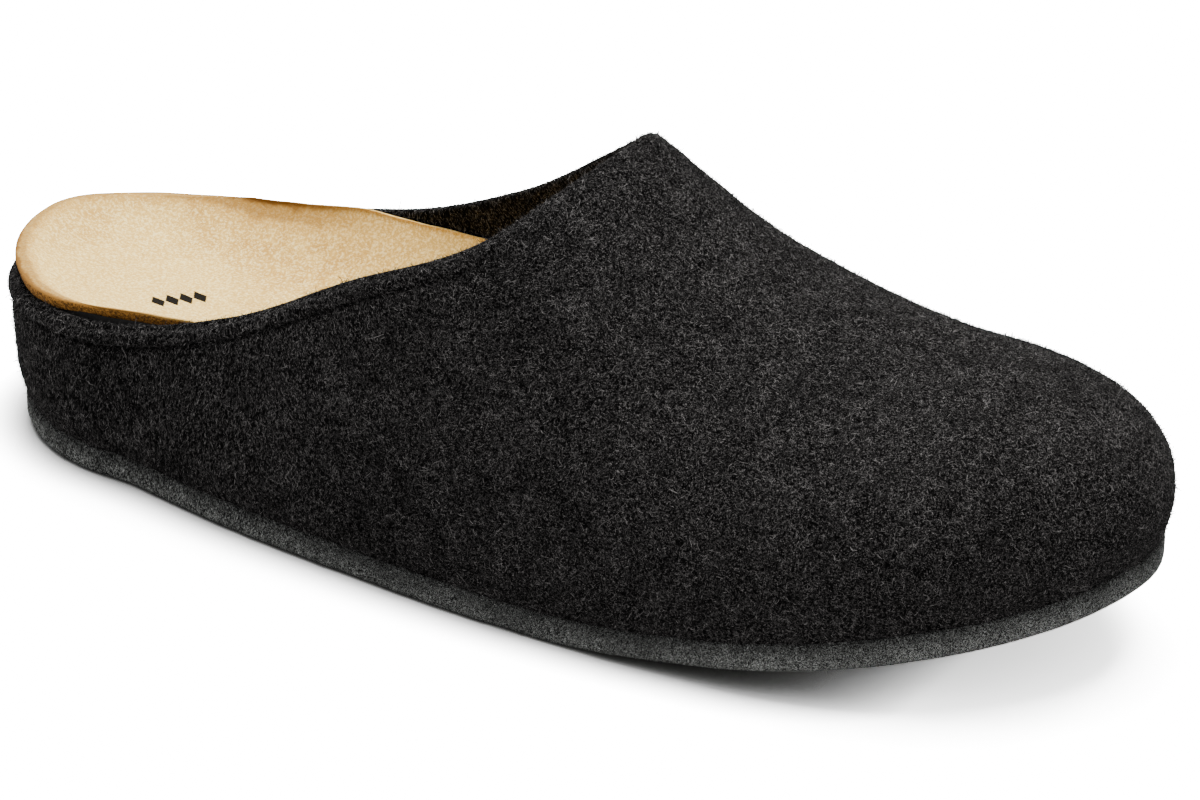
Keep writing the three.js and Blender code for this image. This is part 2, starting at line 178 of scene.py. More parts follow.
# Soft ridges of the felt and, where the height is negative, troughs
CREASES = rows(
    "start end width height",
    ((0.0034, -0.0374, 0.0733), (0.0163, -0.0373, 0.0693), 0.003, 0.0005),
    ((0.0163, -0.0373, 0.0693), (0.0266, -0.0368, 0.0659), 0.003, 0.0005),
    ((0.0131, -0.0289, 0.0804), (0.0203, -0.0321, 0.0741), 0.003, -0.0005),
    ((0.0298, -0.0206, 0.0784), (0.0290, -0.0300, 0.0720), 0.0028, 0.0004),
    ((0.0461, -0.0395, 0.0560), (0.0662, -0.0380, 0.0528), 0.006, 0.0005),
    ((-0.0170, -0.0460, 0.0600), (-0.0132, -0.0485, 0.0535), 0.0022, 0.0004),
    ((-0.0351, -0.0483, 0.0518), (-0.0021, -0.0540, 0.0371), 0.005, -0.0004),
    ((-0.0543, -0.0512, 0.0290), (-0.0113, -0.0552, 0.0290), 0.006, -0.0004),
    ((0.0653, -0.0522, 0.0365), (0.1015, -0.0478, 0.0372), 0.006, -0.0004),
    ((0.1258, -0.0040, 0.0593), (0.1331, -0.0042, 0.0564), 0.0025, 0.0004),
    ((0.1306, 0.0058, 0.0583), (0.1404, 0.0008, 0.0526), 0.003, -0.0004),
)

# Slow swells and small lumps of each surface, by height, size and seed
SWELLS = {
    "upper": ((0.00022, 0.03, 1), (0.00006, 0.007, 2)),
    "sole": ((0.00007, 0.012, 3), (0.00005, 0.004, 4)),
    "lining": ((0.00012, 0.006, 5),),
    "cover": ((0.00008, 0.01, 6),),
}

# Worn and darker patches of the suede, in metres on the floor plan
STAINS = rows(
    "place size turn depth",
    ((-0.116, 0.022, 0), (0.005, 0.010, 1), 0.5, 0.75),
    ((-0.108, 0.018, 0), (0.014, 0.010, 1), 0.3, 0.55),
    ((-0.096, 0.015, 0), (0.024, 0.009, 1), -0.1, 0.7),
    ((-0.080, 0.014, 0), (0.022, 0.014, 1), 0.2, 0.75),
    ((-0.062, 0.012, 0), (0.026, 0.020, 1), 0.0, 0.6),
    ((-0.082, -0.004, 0), (0.010, 0.008, 1), 0.4, 0.4),
    ((-0.070, -0.014, 0), (0.020, 0.009, 1), 0.2, 0.5),
    ((-0.136, 0.004, 0), (0.007, 0.020, 1), 0.1, 0.5),
    ((-0.128, 0.018, 0), (0.013, 0.006, 1), 0.6, 0.35),
)

# A short row of plain printed diamonds, in metres
DIAMOND_PLACE = (-0.0994, -0.0130, 0)
DIAMOND_TURN = 0.99
DIAMOND_COUNT = 4
DIAMOND_PITCH = 0.0035
DIAMOND_HALF_LENGTH = 0.00165
DIAMOND_HALF_WIDTH = 0.0033

# Batches of loose fibres, with lengths as shares of the usual one
FIBRES = rows(
    "name source count length rise seed",
    ("upper_fibres_a", "felt_upper", 66000, 1.0, 0.35, 11),
    ("upper_fibres_b", "felt_upper", 66000, 0.75, 0.6, 12),
    ("upper_fibres_c", "felt_upper", 64000, 0.6, 2.2, 13),
    ("sole_fibres", "felt_sole", 56000, 0.5, 0.5, 14),
)
FUZZ_SHADE = 0.35  # fibres that stand up are darker and wider
FUZZ_WIDTH = 1.9
STRAY_SHARE = 0.002
STRAY_LENGTH = 3.5
BRIGHT_SHARE = 0.3
PATCH_SIZE = 0.009
LOWEST_FIBRE = 0.0001
ROOT_DEPTH = 0.00003

# The studio, in metres
FLOOR_REACH = 6.0
FLOOR_SHADE = (0.12, 0.12, 0.115)
LIGHTS = rows(
    "name size place",
    ("key", 1.3, (-0.1, 0.35, 1.3)),
    ("fill", 0.9, (-0.5, -1.2, 0.8)),
    ("front", 0.6, (1.1, -0.35, 0.35)),
)
CAMERA_TARGET = (0.000965, -0.001653, 0.035)
CAMERA_SHIFT = (27.5 / 1200, -18.4 / 1200)  # in widths of the picture


def number(name, text, default, **more):
    return FloatProperty(name=name, description=text, default=default, **more)


def length(name, text, default):
    return number(name, text, default, min=0, unit="LENGTH", precision=4)


def power(name, text, default):
    return number(name, text, default, min=0, unit="POWER")


def colour(name, text, default):
    return FloatVectorProperty(
        name=name, description=text, default=default, size=3, min=0, max=1, subtype="COLOR"
    )


class SlipperSizes(bpy.types.PropertyGroup):
    """Sizes of the slipper."""

    length: length("Length", "Widest outline of the upper, heel to toe", 0.291)
    ball_width: length("Ball width", "Widest outline at the ball of the foot", 0.115)
    instep_height: length("Instep height", "Crest at the tip of the throat above the sole", 0.089)
    heel_height: length("Heel height", "Collar at the back of the heel above the sole", 0.0277)
    sole_thickness: length("Sole thickness", "Thickness of the felt sole", 0.0072)
    toe_spring: length("Toe spring", "Height of the tread at the tip of the toe", 0.0209)
    heel_lift: length("Heel lift", "Height of the tread at the back edge", 0.0029)
    tread_rounding: length("Tread rounding", "Rounded edge of the sole at the floor", 0.0022)
    top_rounding: length("Top rounding", "Rounded edge of the sole at the seam", 0.0011)
    felt_wall: length("Felt wall", "Thickness of the upper's felt", 0.0028)
    widest_height: length("Widest height", "Widest line of the wall above the sole", 0.009)
    heel_flare: length("Heel flare", "How far the back of the collar leans out", 0.004)
    hem_width: length("Hem width", "Width of the turned hem", 0.0036)
    hem_step: length("Hem step", "How far the hem stands proud at the heel", 0.0006)
    hem_groove: length("Hem groove", "Depth of the stitched line under the hem", 0.0008)
    hem_crown: length("Hem crown", "Rounded top of the hem above the collar line", 0.0012)
    hem_shoulder: length("Hem shoulder", "Radius of the hem's rounded outer edge", 0.0014)
    cover_thickness: length("Cover thickness", "Thickness of the suede insole", 0.0018)
    fibre_length: length("Fibre length", "Typical length of a loose fibre", 0.0013)
    fibre_width: length("Fibre width", "Width of a loose fibre", 0.000075)
    origin: FloatVectorProperty(
        name="Origin",
        description="Place of the heel's end of the length on the floor",
        default=(-0.144641, -0.001653, 0.0),
        size=3,
        subtype="TRANSLATION",
        unit="LENGTH",
        precision=4,
    )


class SlipperColours(bpy.types.PropertyGroup):
    """Colours of the slipper's materials."""

    felt: colour("Felt", "Ground of the charcoal felt", (0.0017, 0.0016, 0.0016))
    felt_fibre: colour("Felt fibre", "Pale fibres in the charcoal felt", (0.13, 0.124, 0.121))
    sole: colour("Sole", "Ground of the grey sole felt", (0.005, 0.0053, 0.0051))
    sole_fibre: colour("Sole fibre", "Pale fibres in the sole felt", (0.46, 0.47, 0.45))
    suede: colour("Suede", "Ground of the suede", (0.97, 0.67, 0.2))
    suede_mark: colour("Suede mark", "Darker worn patches of the suede", (0.46, 0.235, 0.045))
    burnish: colour("Burnished edge", "Edge of the suede insole", (0.2, 0.088, 0.016))
    ink: colour("Ink", "Small printed diamonds", (0.004, 0.003, 0.0015))
    cork: colour("Cork", "Ground of the cork block", (0.12, 0.06, 0.025))
    cork_grain: colour("Cork grain", "Dark grains of the cork", (0.03, 0.014, 0.007))


class StudioSettings(bpy.types.PropertyGroup):
    """Floor, light and camera."""

    floor: colour("Floor", "Colour of the floor as the slipper sees it", (0.5, 0.5, 0.5))
    floor_boost: number("Floor boost", "How much brighter the camera sees the floor", 17.0)
    sky: number("Sky", "Strength of the even light from all round", 0.6, min=0)
    key: power("Key light", "Power of the soft light overhead", 59.0)
    fill: power("Fill light", "Power of the soft light in front", 2.0)
    front: power("Front light", "Power of the light at the toe", 3.0)
    azimuth: number("Azimuth", "Turn of the camera round the slipper in degrees", 31.22)
    elevation: number("Elevation", "Height of the camera in degrees", 25.3)
    roll: number("Roll", "Tilt of the picture in degrees", 1.18)
    distance: number("Distance", "Camera to target", 1.62, unit="LENGTH")
    lens: number("Lens", "Focal length in millimetres", 214.3)


# Shape functions

def along(table, column, share, level_ends=False):
    """Value of a column at shares of the length, on a smooth curve that never overshoots its rows."""
    at = np.array([row["at"] for row in table], float)
    value = np.array([row[column] for row in table], float)
    share = np.clip(share, at[0], at[-1])
    step = np.diff(at)
    slope = np.diff(value) / step
    tangent = np.zeros(len(at))
    if not level_ends:
        tangent[0], tangent[-1] = slope[0], slope[-1]
    for i in range(1, len(slope)):
        if slope[i - 1] * slope[i] > 0:
            before = 2 * step[i] + step[i - 1]
            after = step[i] + 2 * step[i - 1]
            tangent[i] = (before + after) / (before / slope[i - 1] + after / slope[i])
    k = np.clip(np.searchsorted(at, share, side="left") - 1, 0, len(step) - 1)
    t = (share - at[k]) / step[k]
    ends = value[k] * (2 * t**3 - 3 * t**2 + 1) + value[k + 1] * (3 * t**2 - 2 * t**3)
    bends = tangent[k] * step[k] * (t**3 - 2 * t**2 + t) + tangent[k + 1] * step[k] * (t**3 - t**2)
    return ends + bends


def rounded(share, power):
    """Quarter of a superellipse."""
    return (1 - np.clip(share, 0, 1) ** power) ** (1 / power)


def column(values):
    return np.asarray(values)[:, None]


class Last:
    """The shape that the upper, cover and sole are worked out from, as rays round the outline."""

    def __init__(self, sizes):
        self.sizes = sizes
        self.length = sizes.length
        self.heel_x = HEEL_SHARE * self.length
        self.ball_x = BALL_SHARE * self.length
        self.throat_x = THROAT_SHARE * self.length
        self.stations = self.ball_x + (self.heel_x - self.ball_x) * np.arange(SIDE_RAYS + 1) / SIDE_RAYS
        self.make_rays()
        self.place_collar()

    def make_rays(self):
        """Rays from the ridge line to the widest outline, down the outer side and up the inner one."""
        quarter = math.pi / 2
        half = [("toe", quarter * i / TOE_RAYS) for i in range(TOE_RAYS)]
        half += [("side", x) for x in self.stations]
        half += [("heel", quarter * i / HEEL_RAYS) for i in range(1, HEEL_RAYS + 1)]
        rays = [(order, -1) + ray for order, ray in enumerate(half)]
        rays += [(order, 1) + ray for order, ray in reversed(list(enumerate(half))[1:-1])]
        base, toward, reach = [], [], []
        for _, side, zone, value in rays:
            x = {"toe": self.ball_x, "side": value, "heel": self.heel_x}[zone]
            far = self.half_width(x, side)
            way = (0, side)
            if zone == "toe":
                way = (math.cos(value), side * math.sin(value))
                far = self.end_reach(self.length - x, far, TOE_ROUNDNESS[side], way)
            elif zone == "heel":
                way = (-math.sin(value), side * math.cos(value))
                far = self.end_reach(x, far, HEEL_ROUNDNESS, way)
            base.append((x, self.ridge_y(x)))
            toward.append(way)
            reach.append(far)
        self.order = np.array([ray[0] for ray in rays])
        self.side = np.array([ray[1] for ray in rays])
        self.base, self.toward = np.array(base, float), np.array(toward, float)
        self.reach = np.array(reach, float)
        self.edge = self.base + self.toward * column(self.reach)
        self.low = self.widest_z(self.edge[:, 0])
        before, after = np.roll(self.edge, 1, 0), np.roll(self.edge, -1, 0)
        out = np.stack([before[:, 1] - after[:, 1], after[:, 0] - before[:, 0]], 1)
        self.out = out / np.linalg.norm(out, axis=1, keepdims=True)

    @staticmethod
    def end_reach(lengthwise, crosswise, power, way):
        """Length of a ray to a superellipse."""
        return ((abs(way[0]) / lengthwise) ** power + (abs(way[1]) / crosswise) ** power) ** (-1 / power)

    def place_collar(self):
        """End of each ray's face on the collar; the front rays fan out to the throat."""
        first = int(np.argmax(self.stations < FAN_SHARE * self.length))
        last_fan = TOE_RAYS + first
        self.fans = self.order < last_fan
        share = np.clip(1 - self.order / last_fan, 0, 1)
        start = self.stations[first]
        fan_x = start + (self.throat_x - start) * np.sin(share * math.pi / 2)
        x = np.where(self.fans, fan_x, self.edge[:, 0])
        left_x = np.where(self.fans, x, self.base[:, 0])
        low = np.where(self.fans, self.widest_z(x), self.low)
        self.left = self.width_left(left_x, self.collar_z(x, self.side), low)
        straight = self.base + self.toward * column(self.reach * self.left)
        fan = np.stack([x, self.ridge_y(x) + self.side * self.half_width(x, self.side) * self.left], 1)
        self.collar = np.where(column(self.fans), fan, straight)
        faded = np.clip((self.collar[:, 0] / self.throat_x - HEM_FADE_START) / (1 - HEM_FADE_START), 0, 1)
        self.throat_share = faded
        self.hem_share = (1 - faded) ** HEM_FADE_POWER * HEM_FADE + (1 - HEM_FADE) * (1 - faded**3)

    def ridge_y(self, x):
        """The line along the middle of the crest, which shifts to the inner side at the toe."""
        share = np.clip((np.asarray(x) / self.length - RIDGE_START) / (BALL_SHARE - RIDGE_START), 0, 1)
        return RIDGE_SHIFT * self.sizes.ball_width * share**RIDGE_POWER

    def half_width(self, x, side):
        """From the ridge line to the widest outline."""
        x = np.asarray(x, float)
        past = (x - self.ball_x) / (self.length - self.ball_x)
        outer = along(OUTLINE, "outer", x / self.length, True) * rounded(past, TOE_ROUNDNESS[-1])
        inner = along(OUTLINE, "inner", x / self.length, True) * rounded(past, TOE_ROUNDNESS[1])
        return self.sizes.ball_width * np.where(np.asarray(side) < 0, outer, inner)

    def tread_z(self, x):
        share = np.asarray(x) / self.length
        toe = np.clip((share - SPRING_SHARE) / (1 - SPRING_SHARE), 0, 1)
        heel = np.clip((HEEL_LIFT_SHARE - share) / HEEL_LIFT_SHARE, 0, 1)
        return self.sizes.toe_spring * toe**SPRING_POWER + self.sizes.heel_lift * heel**2

    def sole_top_z(self, x):
        return self.tread_z(x) + self.sizes.sole_thickness

    def widest_z(self, x):
        return self.sole_top_z(x) + self.sizes.widest_height

    def crest_z(self, x):
        height = self.sole_top_z(x) + self.sizes.instep_height * along(CREST, "height", x / self.length)
        toe = rounded((x - self.ball_x) / (self.length - self.ball_x), CREST_ROUNDNESS)
        return self.widest_z(x) + (height - self.widest_z(x)) * toe

    def powers(self, x):
        return along(SECTION, "across", x / self.length), along(SECTION, "over", x / self.length)

    def width_left(self, x, z, low):
        """Share of the half width that the section still has at a height."""
        rise = np.clip((z - low) / (self.crest_z(x) - low), 0, 1)
        across, over = self.powers(x)
        return (1 - rise ** (2 / over)) ** (across / 2)

    def surface_z(self, x, y):
        offset = y - self.ridge_y(x)
        width = np.maximum(self.half_width(x, np.where(offset < 0, -1, 1)), 1e-9)
        share = np.clip(np.abs(offset) / width, 0, 1)
        across, over = self.powers(x)
        low = self.widest_z(x)
        return low + (self.crest_z(x) - low) * (1 - share ** (2 / across)) ** (over / 2)

    def collar_z(self, x, side):
        share = np.clip(x / self.throat_x, 0, 1)
        climb = np.where(np.asarray(side) < 0, along(COLLAR, "outer", share), along(COLLAR, "inner", share))
        rise = self.sizes.instep_height + self.tread_z(self.throat_x) - self.sizes.heel_height
        return self.sizes.sole_thickness + self.sizes.heel_height + rise * climb

    def flare(self, x, z):
        """How far the wall leans out at a height."""
        back = np.clip((FLARE_END - x / self.length) / FLARE_END, 0, 1)
        return self.sizes.heel_flare * back * (z - self.widest_z(x)) / FLARE_REACH

    def face(self, share):
        """Points of the outer face, shares of each ray from the widest line (0) to the collar line (1)."""
        x = column(np.where(self.fans, (self.edge[:, 0] + self.collar[:, 0]) / 2, self.base[:, 0]))
        across, over = self.powers(x)
        left = column(self.left)
        last_turn = np.arcsin(np.clip(left, 0, 1) ** (1 / across))
        turn = math.pi / 2 + (last_turn - math.pi / 2) * share
        reached = np.sin(turn) ** across
        spread = np.where(left < 1, (reached - left) / np.maximum(1 - left, 1e-9), 0)
        place = self.collar[:, None] + (self.edge - self.collar)[:, None] * spread[..., None]
        fanned = self.surface_z(place[..., 0], place[..., 1])
        low = column(self.low)
        straight = low + (self.crest_z(column(self.base[:, 0])) - low) * np.maximum(np.cos(turn), 0) ** over
        z = np.where(column(self.fans), fanned, straight)
        lean = np.where(column(self.fans), 0, self.flare(column(self.edge[:, 0]), straight))
        place = place + self.toward[:, None] * lean[..., None]
        return np.concatenate([place, z[..., None]], -1)

    def tuck(self, share):
        """Points of the outer face from its foot on the sole (0) to the widest line (1)."""
        share_x = self.edge[:, 0] / self.length
        foot_inset = column(along(TUCK, "feather", share_x) + along(TUCK, "sole", share_x)) / 2
        inset = foot_inset * (1 - np.sin(share * math.pi / 2))
        place = self.edge[:, None] - self.out[:, None] * inset[..., None]
        foot = self.sole_top_z(place[..., 0]) + FOOT_GAP
        return np.concatenate([place, (foot + (column(self.low) - foot) * share)[..., None]], -1)

    def inset(self, z):
        """How far the outer face lies inside the widest outline at heights below the collar."""
        feather = column(along(TUCK, "feather", self.edge[:, 0] / self.length))
        foot = column(self.sole_top_z(self.edge[:, 0]))
        low = column(self.low)
        tucked = feather * (1 - np.sin(np.clip((z - foot) / (low - foot), 0, 1) * math.pi / 2))
        x = column(self.base[:, 0])
        lean = self.flare(column(self.edge[:, 0]), z)
        straight = column(self.reach) * (1 - self.width_left(x, z, low)) - lean
        shallow = np.zeros_like(z)
        deep = np.broadcast_to(column(self.reach / 2), z.shape).copy()
        halvings = 18
        for _ in range(halvings):
            middle = (shallow + deep) / 2
            place = self.edge[:, None] - self.out[:, None] * middle[..., None]
            outside = self.surface_z(place[..., 0], place[..., 1]) < z
            shallow = np.where(outside, middle, shallow)
            deep = np.where(outside, deep, middle)
        return np.where(z <= low, tucked, np.where(column(self.fans), deep, straight))

    def bed(self, share, lift):
        """Points of a layer on the footbed, from the ridge line (0) to the rim (1)."""
        def height(x, which):
            return self.sizes.heel_height * along(BED, which, x / self.length)

        x = self.edge[:, 0]
        rim_z = self.sole_top_z(x) + np.where(self.side < 0, height(x, "outer"), height(x, "inner"))
        inset = self.inset(column(rim_z + lift))[:, 0] + self.sizes.felt_wall + WALL_GAP
        rim = self.edge - self.out * column(inset)
        place = self.base[:, None] + (rim - self.base)[:, None] * share[..., None]
        middle = self.sole_top_z(place[..., 0]) + height(place[..., 0], "middle")
        end = self.sole_top_z(rim[:, 0]) + height(rim[:, 0], "middle")
        z = middle + column(rim_z - end) * share**CUP_POWER + lift
        return np.concatenate([place, z[..., None]], -1)

    def sole(self, share, inset, rise):
        """Points of the sole at a share of the way from the ridge line to its edge."""
        edge = self.edge - self.out * column(along(TUCK, "sole", self.edge[:, 0] / self.length) + inset)
        place = self.base + (edge - self.base) * share
        return np.concatenate([place, column(self.tread_z(place[:, 0]) + rise)], 1)


def spread(last, shares):
    """The same shares for every ray."""
    return np.broadcast_to(np.asarray(shares, float), (len(last.order), len(shares)))


def shares_from_collar(last, distances):
    """Shares of each ray at distances from the collar line, measured along the face."""
    steps = 160
    shares = 1 - np.arange(steps + 1) / steps
    points = last.face(spread(last, shares))
    gaps = np.linalg.norm(np.diff(points, axis=1), axis=2)
    lengths = np.concatenate([np.zeros((len(gaps), 1)), np.cumsum(gaps, 1)], 1)
    wanted = distances(lengths[:, -1])
    return np.stack([np.interp(w, run, shares) for w, run in zip(wanted, lengths)])


def face_normals(points, foot):
    """Unit vectors square to a grid of points, one row for each ray, level at the foot."""
    up = np.gradient(points, axis=1)
    around = np.roll(points, -1, 0) - np.roll(points, 1, 0)
    normal = np.cross(up, around)
    normal /= np.linalg.norm(normal, axis=2, keepdims=True)
    normal[:, 0, :2] = foot
    normal[:, 0, 2] = 0
    return normal


def waves(points, size, seed, count=28):
    """Smooth random field over places in space, about -1 to 1, with swells of about the given size."""
    random = np.random.default_rng(seed)
    direction = random.normal(size=(count, 3))
    direction /= np.linalg.norm(direction, axis=1, keepdims=True)
    direction *= 2 * math.pi / (size * random.uniform(0.7, 1.6, (count, 1)))
    phase = random.uniform(0, 2 * math.pi, count)
    return np.sin(points @ direction.T + phase).sum(-1) / math.sqrt(count)


def swells(points, surface):
    """The swells of one surface, in metres."""
    return sum(height * waves(points, size, seed) for height, size, seed in SWELLS[surface])


# Meshes

def make_object(name, data):
    item = bpy.data.objects.new(name, data)
    bpy.context.collection.objects.link(item)
    return item


def mark_points(mesh, mark, values):
    layer = mesh.attributes.new(mark, "FLOAT", "POINT")
    layer.data.foreach_set("value", np.ascontiguousarray(values, np.float32).ravel())


def grid_object(name, last, grid, marks, meet=False):
    """Closed surface from points in a row for each ray, whose end columns meet or shrink to a line."""
    rays, rings = grid.shape[:2]
    points = (grid + np.array(last.sizes.origin)).reshape(-1, 3)
    ray, ring = np.meshgrid(np.arange(rays), np.arange(rings if meet else rings - 1), indexing="ij")
    next_ray, next_ring = (ray + 1) % rays, (ring + 1) % rings
    pairs = ((ray, ring), (ray, next_ring), (next_ray, next_ring), (next_ray, ring))
    faces = np.stack([a * rings + b for a, b in pairs], -1).reshape(-1, 4)
    mesh = bpy.data.meshes.new(name)
    mesh.from_pydata(points.tolist(), [], faces.tolist())
    for mark, values in marks.items():
        mark_points(mesh, mark, values)
    work = bmesh.new()
    work.from_mesh(mesh)
    bmesh.ops.remove_doubles(work, verts=work.verts, dist=2e-6)
    bmesh.ops.dissolve_degenerate(work, edges=work.edges, dist=1e-7)
    if work.calc_volume(signed=True) < 0:
        bmesh.ops.reverse_faces(work, faces=work.faces)
    work.to_mesh(mesh)
    work.free()
    mesh.shade_smooth()
    return make_object(name, mesh)


def dress(item, material):
    """Give a piece its material and tie it to the slipper."""
    item.data.materials.clear()
    item.data.materials.append(material)
    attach(item, "root")


# Node helpers

class Graph:
    """Adds nodes to one node tree. A value is a number, a colour or another node's socket."""

    def __init__(self, tree):
        self.tree = tree

    def add(self, kind, inputs=None, **settings):
        node = self.tree.nodes.new(kind)
        for key, value in settings.items():
            setattr(node, key, value)
        for key, value in (inputs or {}).items():
            self.feed(node.inputs[key], value)
        return node

    def feed(self, socket, value):
        if isinstance(value, bpy.types.NodeSocket):
            self.tree.links.new(value, socket)
        elif socket.type == "RGBA" and len(value) == 3:
            socket.default_value = (*value, 1)
        else:
            socket.default_value = value

    def math(self, operation, *values):
        return self.add("ShaderNodeMath", dict(enumerate(values)), operation=operation).outputs[0]

    def vector(self, operation, *values):
        return self.add("ShaderNodeVectorMath", dict(enumerate(values)), operation=operation).outputs[0]

    def plus(self, first, second):
        return self.math("ADD", first, second)

    def minus(self, first, second):
        return self.math("SUBTRACT", first, second)

    def times(self, first, second):
        return self.math("MULTIPLY", first, second)

    def split(self, vector):
        return self.add("ShaderNodeSeparateXYZ", {0: vector}).outputs

    def remap(self, value, low, high, start=0.0, end=1.0, smooth=True):
        kind = "SMOOTHSTEP" if smooth else "LINEAR"
        names = ("Value", "From Min", "From Max", "To Min", "To Max")
        inputs = dict(zip(names, (value, low, high, start, end)))
        return self.add("ShaderNodeMapRange", inputs, interpolation_type=kind).outputs[0]

    def noise(self, place, scale, detail=2.0, rough=0.5, bend=0.0):
        inputs = {"Vector": place, "Scale": scale, "Detail": detail, "Roughness": rough, "Distortion": bend}
        return self.add("ShaderNodeTexNoise", inputs).outputs["Fac"]

    def mix(self, share, first, second):
        """Mix of two colours, whose sockets are the seventh and eighth of the node."""
        return self.add("ShaderNodeMix", {0: share, 6: first, 7: second}, data_type="RGBA").outputs[2]

    def mark(self, name):
        return self.add("ShaderNodeAttribute", attribute_name=name).outputs["Fac"]

    def group(self, tree, inputs):
        return self.add("ShaderNodeGroup", inputs, node_tree=tree).outputs

    def cloud(self, place, large, small, contrast):
        given = {"Place": place, "Large": large, "Small": small, "Contrast": contrast}
        return self.group(mottle_group(), given)["Cloud"]

    def finish_shader(self, shader, inputs, bump):
        """Feed a Principled shader its inputs and a bump of the given strength, distance and height."""
        bumped = self.add("ShaderNodeBump", dict(zip(("Strength", "Distance", "Height"), bump)))
        for key, value in {**inputs, "Normal": bumped.outputs[0]}.items():
            self.feed(shader.inputs[key], value)


def shared_group(name, numbers, outputs, build):
    """Node group with a place and named numbers as inputs, made once. build() links its nodes."""
    if name in bpy.data.node_groups:
        return bpy.data.node_groups[name]
    tree = bpy.data.node_groups.new(name, "ShaderNodeTree")
    tree.interface.new_socket("Place", in_out="INPUT", socket_type="NodeSocketVector")
    for key, value in numbers.items():
        socket = tree.interface.new_socket(key, in_out="INPUT", socket_type="NodeSocketFloat")
        socket.default_value = value
    for key in outputs:
        tree.interface.new_socket(key, in_out="OUTPUT", socket_type="NodeSocketFloat")
    graph = Graph(tree)
    results = build(graph, graph.add("NodeGroupInput").outputs)
    end = graph.add("NodeGroupOutput")
    for key, value in zip(outputs, results):
        graph.feed(end.inputs[key], value)
    return tree


def fibre_group():
    """Thin curly pale lines in three layers, and the fine relief under them."""
    numbers = {"Scale": 900.0, "Thickness": 0.05, "Amount": 0.5}
    return shared_group("Felt fibres", numbers, ("Fibres", "Relief"), link_fibres)


def link_fibres(graph, given):
    layers = []
    for share, shift in ((1.0, 0.0), (1.6, 3.1), (0.62, 7.7)):
        place = graph.vector("ADD", given["Place"], (shift, -shift, 2 * shift))
        scale = graph.times(given["Scale"], share)
        value = graph.noise(place, scale, 1.0, 0.5, 1.2)
        distance = graph.math("ABSOLUTE", graph.minus(value, 0.5))
        line = graph.remap(distance, graph.times(given["Thickness"], share), 0.0)
        patchy = graph.noise(graph.vector("ADD", place, (5.3, 1.9, 0.4)), graph.times(scale, 0.6), 1.0)
        limit = graph.minus(1.0, given["Amount"])
        layers.append(graph.times(line, graph.remap(patchy, limit, graph.plus(limit, 0.12))))
    most = graph.math("MAXIMUM", graph.math("MAXIMUM", layers[0], layers[1]), layers[2])
    fine = graph.noise(given["Place"], graph.times(given["Scale"], 2.2), 2.0, 0.6)
    return most, graph.plus(graph.times(most, 0.6), graph.times(fine, 0.6))


def mottle_group():
    """Soft clouds at two sizes, about 0 to 1."""
    numbers = {"Large": 30.0, "Small": 160.0, "Contrast": 0.2}
    return shared_group("Soft mottle", numbers, ("Cloud",), link_mottle)


def link_mottle(graph, given):
    large = graph.noise(given["Place"], given["Large"], 2.0, 0.5, 0.3)
    small = graph.noise(given["Place"], given["Small"], 3.0, 0.6, 0.4)
    both = graph.plus(graph.times(large, 0.45), graph.times(small, 0.55))
    low, high = graph.minus(0.5, given["Contrast"]), graph.plus(0.5, given["Contrast"])
    return (graph.remap(both, low, high),)


def scaled(colour, share):
    return tuple(share * part for part in colour)


def new_material(name):
    material = bpy.data.materials.new(name)
    material.use_nodes = True
    tree = material.node_tree
    graph = Graph(tree)
    shader = tree.nodes["Principled BSDF"]
    place = graph.add("ShaderNodeTexCoord").outputs["Object"]
    return material, graph, shader, place


def felt_material(name, ground, fibre, scale, amount):
    """Pressed wool felt: a dark ground, curly pale fibres, soft mottling and painted shade, near black, in
    the stitched groove under the hem and on the top of the sole under the upper.
    """
    material, graph, shader, place = new_material(name)
    drawn_out = graph.remap(graph.split(place)[0], 0.0, -0.07, 1.0, 0.4)
    stretch = graph.add("ShaderNodeCombineXYZ", {0: 1.0, 1: 1.0, 2: drawn_out}).outputs[0]
    drawn = graph.vector("MULTIPLY", place, stretch)
    given = {"Place": drawn, "Scale": scale, "Thickness": 0.075, "Amount": amount}
    fibres = graph.group(fibre_group(), given)
    cloud = graph.cloud(place, 34.0, 150.0, 0.14)
    tone = graph.mix(cloud, scaled(ground, 0.5), scaled(ground, 1.5))
    fine = graph.remap(graph.noise(place, scale * 1.6, 3.0, 0.7), 0.35, 0.7)
    tone = graph.mix(fine, graph.mix(0.6, tone, (0, 0, 0)), tone)
    share = graph.times(fibres["Fibres"], graph.remap(cloud, 0.0, 1.0, 0.6, 1.0, False))
    tone = graph.mix(share, tone, fibre)
    speckle = graph.remap(graph.noise(drawn, 1.5 * scale, 1.0, 0.5), 0.36, 0.64, 0.08, 1.75)
    tone = graph.vector("MULTIPLY", tone, speckle)
    # painted shade: darkens the felt towards near black in the stitched groove and on the sole's top under
    # the upper
    tone = graph.mix(graph.times(graph.mark("groove"), 0.8), tone, (0.0005, 0.0005, 0.0005))
    relief = graph.plus(fibres["Relief"], graph.times(cloud, 0.8))
    inputs = {"Base Color": tone, "Roughness": 0.95, "Specular IOR Level": 0.02}
    graph.finish_shader(shader, inputs, (0.9, 0.0004, relief))
    return material


def strand_material(name, dark, pale):
    """Loose fibres, each of its own shade."""
    material, graph, shader, place = new_material(name)
    tone = graph.mix(graph.mark("shade"), dark, pale)
    inputs = {"Base Color": tone, "Roughness": 0.75, "Specular IOR Level": 0.05}
    graph.finish_shader(shader, inputs, (0.2, 0.00005, graph.noise(place, 9000.0, 1.0)))
    return material


